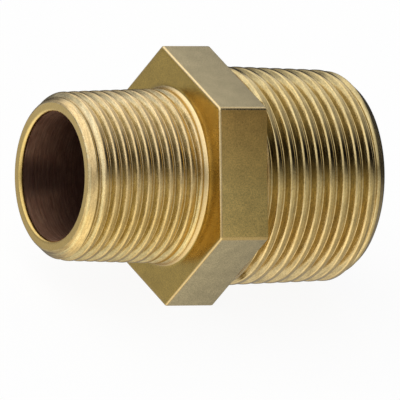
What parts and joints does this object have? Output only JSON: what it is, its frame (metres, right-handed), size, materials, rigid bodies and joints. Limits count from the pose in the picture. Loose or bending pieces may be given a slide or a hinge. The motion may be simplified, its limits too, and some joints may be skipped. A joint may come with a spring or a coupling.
{
  "type": "reducing hex nipple",
  "caption": "Brass pipe fitting that joins two female pipe ports of different size, with a taper thread at each end and a wrench hexagon between.",
  "frame": {"origin": "on the bore axis, half way between the two end faces", "axes": "+X along the bore axis towards the large end, +Z square to the upper hexagon flat"},
  "size_m": [0.0496, 0.0392, 0.034],
  "materials": {
    "brass": "turned threads and ends, plain drawn hexagon flats, unplated"
  },
  "bodies": {
    "root": {"nipple_body": "brass"}
  },
  "joints": []
}
